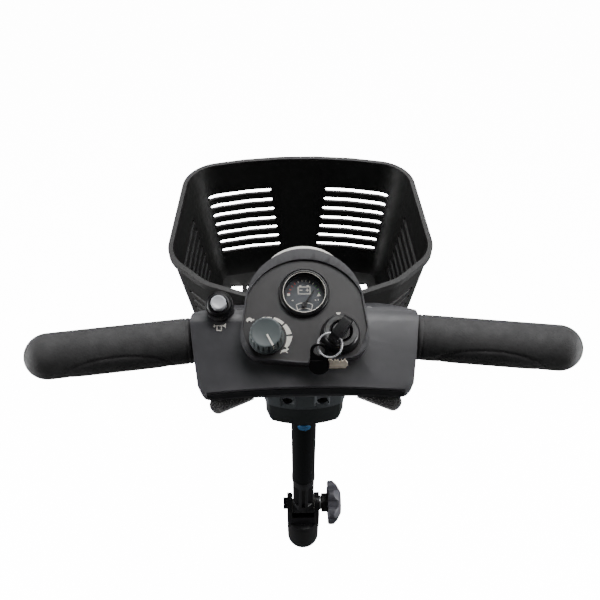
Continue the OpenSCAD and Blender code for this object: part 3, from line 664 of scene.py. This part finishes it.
def horn_button():
    """The black rings around the button, and its cap on a stem, hollow over the spring."""
    centre = on_panel(HORN.x, HORN.y)
    rings = [
        (7.2, 30), (11.3, 30), (11.5, 30.8), (11.2, 31.8), (10.6, 32.1), (10.3, 31.8), (10.0, 32.6),
        (9.4, 33.6), (8.7, 34.0), (8.3, 33.6), (7.8, 33.8), (7.2, 33.2),
    ]
    piece("horn_rings", lathe(rings, 96), centre, BLACK_GLOSS, "horn_bezel", True)
    stem = [(0, 11.5), (2.5, 11.5), (2.5, 28.6)]
    spring_recess = [(4.8, 28.6), (4.8, 25)]
    cap = [(6.3, 25), (6.3, 36.6), (6.15, 37.3), (5.7, 37.8), (4.9, 37.9), (4.6, 37.7), (0, 37.9)]
    shape = lathe(stem + spring_recess + cap, 72)
    piece("horn_button_cap", shape, centre, HORN_SILVER, "horn_cap", True, sharp=40)


def lock_collar():
    """The black collar around the lock, and the bright ring that faces it."""
    centre = on_panel(KEY_X, KEY_Y)
    collar = [
        (8.2, 33), (16, 33), (16.1, 33.8), (15.7, 35.4), (15.2, 38.5), (14.4, 42.2), (13.6, 44.2),
        (12.8, 45.1), (11.6, 45.5), (10.2, 45.5), (9.4, 45.1), (9.0, 44.6), (8.2, 44.4),
    ]
    piece("lock_collar", lathe(collar, 96), centre, BLACK_GLOSS, "key_collar", True, sharp=40)
    face = [(8.9, 44.6), (9.4, 45.0), (12.4, 45.1), (12.3, 45.7), (9.3, 45.6)]
    piece("lock_face_ring", lathe(face, 96), centre, LOCK, "key_switch")


def split_ring():
    """Two flat turns of bright wire that lie on each other."""
    turns, steps = 2, 96
    path = []
    for i in range(turns * steps):
        angle = 2 * math.pi * i / steps
        lift = 0.4 * math.tanh((i - steps) / 6)
        path.append((RING_R * math.cos(angle), RING_R * math.sin(angle), lift))
    wire = sweep(path, 0.7, flat=0.56)
    piece("split_ring", wire, RING, CHROME, "key_ring", True)


def spare_blade():
    """Flat blade with four cuts of differing depth and a milled groove."""
    length, top = 19.5, 3.8
    outline = [(0, -top), (length - 2.2, -top), (length, -1.4), (length, 0.6), (length - 1.8, top - 0.6)]
    for i, depth in enumerate((1.2, 2.1, 0.9, 1.7)):
        x = length - 2.8 - 2.5 * i
        outline += [(x, top), (x - 0.8, top - depth), (x - 1.5, top - depth), (x - 2.3, top)]
    outline.append((0, top))
    rib = block(8.7, -1.4, 16.4, 0.9)
    shape = joined([prism(outline, -0.95, 0.95), prism(rib, 0.9, 1.1), prism(rib, -1.1, -0.9)])
    place = SPARE @ shift(3, -12, 0)
    piece("spare_blade", shape, place, NICKEL, "spare_key_blade", True, bevel=0.12)


def pad_edge(x):
    """The finger pad's near edge: a straight wedge that runs into the round outer end."""
    if x > WEDGE_END_X:
        return PAD_END_Y - math.sqrt(max(0.0, PAD_END_R**2 - (x - PAD_END_X) ** 2))
    return LEVER_FRONT - PAD_LIP - (x - PAD_START_X) * WEDGE_DEPTH / (WEDGE_END_X - PAD_START_X)


def pad_knurls():
    """Small pyramids in a diamond lattice over the finger pads."""
    step, rim = 1.25, 1.0
    columns, rows = 29, 6
    first_x, first_y = PAD_START_X + 1.5, LEVER_FRONT - 1.2
    half, foot, tip = 1.1, -0.05, 0.65
    base = [(half, 0), (0, half), (-half, 0), (0, -half)]
    sides = [[0, 1, 4], [1, 2, 4], [2, 3, 4], [3, 0, 4], [3, 2, 1, 0]]
    shapes = []
    for i in range(columns):
        x = first_x + i * step
        for j in range(rows):
            y = first_y - step * (2 * j + i % 2)
            if y > pad_edge(x) + rim and x < PAD_END_X + PAD_END_R - rim:
                for side in (-1, 1):
                    corners = [(side * (x + a), y + b, foot) for a, b in base]
                    shapes.append((corners + [(side * x, y, tip)], sides))
    piece("pad_knurls", joined(shapes), FACE, PAD, "wigwag_pads", sharp=20)


def grip_shape():
    """A grip along +X from its inner end: flange, palm patch outline and domed end."""
    radius, length = GRIP_R, GRIP_LENGTH
    steps, around = 190, 128
    patch_s, patch_angle, patch_long, patch_wide = 62.0, math.radians(198), 45.0, 16.0
    points, faces = [], []
    for i in range(steps + 1):
        s = length * i / steps
        past = max(0.0, s - length + radius)
        r = math.sqrt(max(0.0, radius**2 - past**2))
        if s < 6:
            r -= 1.4 * max(0.0, 1 - s / 1.8) ** 2 + (0.5 if 3.6 < s < 5 else 0.0)
        for k in range(around):
            a = 2 * math.pi * k / around
            off = (a - patch_angle + math.pi) % (2 * math.pi) - math.pi
            oval = math.hypot((s - patch_s) / patch_long, radius * off / patch_wide)
            groove = 0.7 * math.exp(-(((oval - 1) * patch_wide / 0.9) ** 2))
            swell = 0.35 * max(0.0, min(1.0, (1 - oval) * 4))
            rr = max(0.02, r - groove + swell)
            points.append((s, rr * math.cos(a), rr * math.sin(a)))
    for i in range(steps):
        for k in range(around):
            j = (k + 1) % around
            faces.append([i * around + k, i * around + j, (i + 1) * around + j, (i + 1) * around + k])
    faces.append(list(range(around))[::-1])
    faces.append([steps * around + k for k in range(around)])
    return points, faces


def grips():
    """Both grips on the swept ends of the bar; the left one is the right one mirrored."""
    bend = ROW @ shift(BAR_BEND_X, BAR_Y, BAR_Z) @ turn(-BAR_SWEEP, "Z") @ shift(GRIP_START, 0, 0)
    shape = grip_shape()
    piece("right_grip_rubber", shape, bend, GRIP, "right_grip", True, sharp=50)
    mirror = Matrix.Scale(-1, 4, (1, 0, 0))
    piece("left_grip_rubber", shape, mirror @ bend, GRIP, "left_grip", True, sharp=50)


structure()
groove_shade_sheet()
shells()
panel_marks()
gauge()
speed_knob()
horn_button()
lock_collar()
split_ring()
spare_blade()
pad_knurls()
grips()

# ---- stage ----------------------------------------------------------------------------


def studio():
    """A round pale room around the object, in metres. It is hidden from reflections and
    bounce light, so that dark plastic stays dark. The soft boxes and a faint world light the
    object."""
    floor_shader = Shader("pale_floor", 0.9)
    floor_shader.colour((0.92, 0.92, 0.92), 0.01, 2)
    floor_shader.bsdf.inputs["Emission Color"].default_value = (1, 1, 1, 1)
    floor_shader.bsdf.inputs["Emission Strength"].default_value = 14.0
    mesh = bpy.data.meshes.new("floor")
    room = [(0, -0.5), (6, -0.5), (6, 2.5), (5, 4.5), (3, 5.8), (0, 6.2)]
    points, faces = lathe(room, 48)
    mesh.from_pydata(points, [], faces)
    mesh.materials.append(floor_shader.material)
    floor = bpy.data.objects.new("floor", mesh)
    bpy.context.scene.collection.objects.link(floor)
    floor.visible_diffuse = False
    floor.visible_glossy = False
    floor.visible_shadow = False
    world = bpy.data.worlds.new("studio")
    bpy.context.scene.world = world
    world.use_nodes = True
    world.node_tree.nodes["Background"].inputs["Color"].default_value = (1, 1, 1, 1)
    world.node_tree.nodes["Background"].inputs["Strength"].default_value = 0.06


def soft_box(name, place, aim, size, power):
    """Rectangular lamp that faces a point. Its place and size are in metres, power in watts."""
    light = bpy.data.lights.new(name, "AREA")
    light.shape = "RECTANGLE"
    light.size, light.size_y = size
    light.energy = power
    obj = bpy.data.objects.new(name, light)
    bpy.context.scene.collection.objects.link(obj)
    obj.location = place
    obj.rotation_euler = (Vector(aim) - Vector(place)).to_track_quat("-Z", "Y").to_euler()


def camera():
    """The photograph's view: 48 degrees down, a touch left of the middle."""
    elevation, azimuth = math.radians(48), math.radians(-1.2)
    away = Vector((
        math.sin(azimuth) * math.cos(elevation),
        -math.cos(azimuth) * math.cos(elevation),
        math.sin(elevation),
    ))
    data = bpy.data.cameras.new("camera")
    data.lens, data.sensor_width = 38.4, 36.0
    obj = bpy.data.objects.new("camera", data)
    bpy.context.scene.collection.objects.link(obj)
    obj.location = Vector((-0.0109, -0.3386, 0.837))
    obj.rotation_euler = (-away).to_track_quat("-Z", "Y").to_euler()
    bpy.context.scene.camera = obj


studio()
camera()
soft_box("top_light", (0.3, 0.5, 1.85), (0, 0, 0.4), (1.5, 0.6), 30)
soft_box("left_light", (-1.3, 0.2, 0.75), (0, 0, 0.38), (0.8, 1.0), 11)
soft_box("right_light", (1.3, 0.1, 0.75), (0, 0, 0.38), (0.8, 1.0), 9)
soft_box("back_light", (0.1, 1.4, 1.2), (0, 0.1, 0.4), (1.5, 0.5), 9)
soft_box("low_left_light", (-1.3, -0.15, 0.1), (-0.1, 0.15, 0.3), (0.6, 0.6), 17)
soft_box("low_right_light", (1.3, -0.15, 0.1), (0.1, 0.15, 0.3), (0.6, 0.6), 17)
